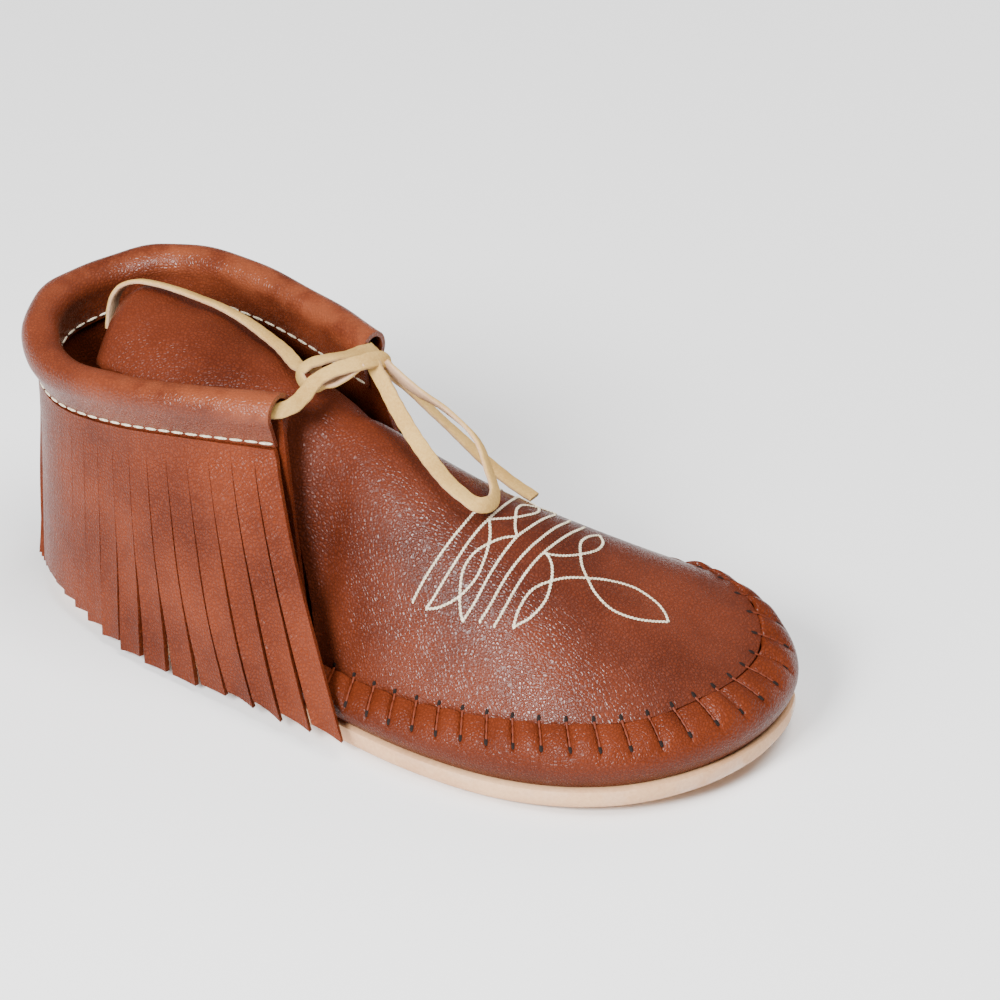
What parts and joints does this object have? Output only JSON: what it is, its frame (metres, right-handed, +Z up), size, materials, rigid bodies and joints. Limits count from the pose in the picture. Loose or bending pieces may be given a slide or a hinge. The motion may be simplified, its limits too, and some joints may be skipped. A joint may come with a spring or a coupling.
{
  "type": "fringed leather moccasin shoe",
  "caption": "Right ankle moccasin in brown leather: gathered toe seam, stitched apron and tongue, rolled lace collar, long cut fringe, flat tan sole.",
  "frame": {"origin": "on the floor under the middle of the shoe's box, without the lace", "axes": "+X to the toe, +Y to the inner side of the foot, +Z up"},
  "size_m": [0.261, 0.1088, 0.1051],
  "materials": {
    "leather": "pebble-grained, half-glossy reddish brown",
    "crepe": "matt tan sheet with a cut edge",
    "lining": "matt brown, rough side of the leather",
    "lace": "pale suede, matt"
  },
  "bodies": {
    "root": {"outsole": "crepe", "insole": "lining", "upper": "leather", "apron_tongue": "leather", "cuff": "leather", "fringe": "leather", "lace_knot": "lace", "lace_loop": "lace", "lace_end_front": "lace", "lace_end_back": "lace"}
  },
  "joints": []
}
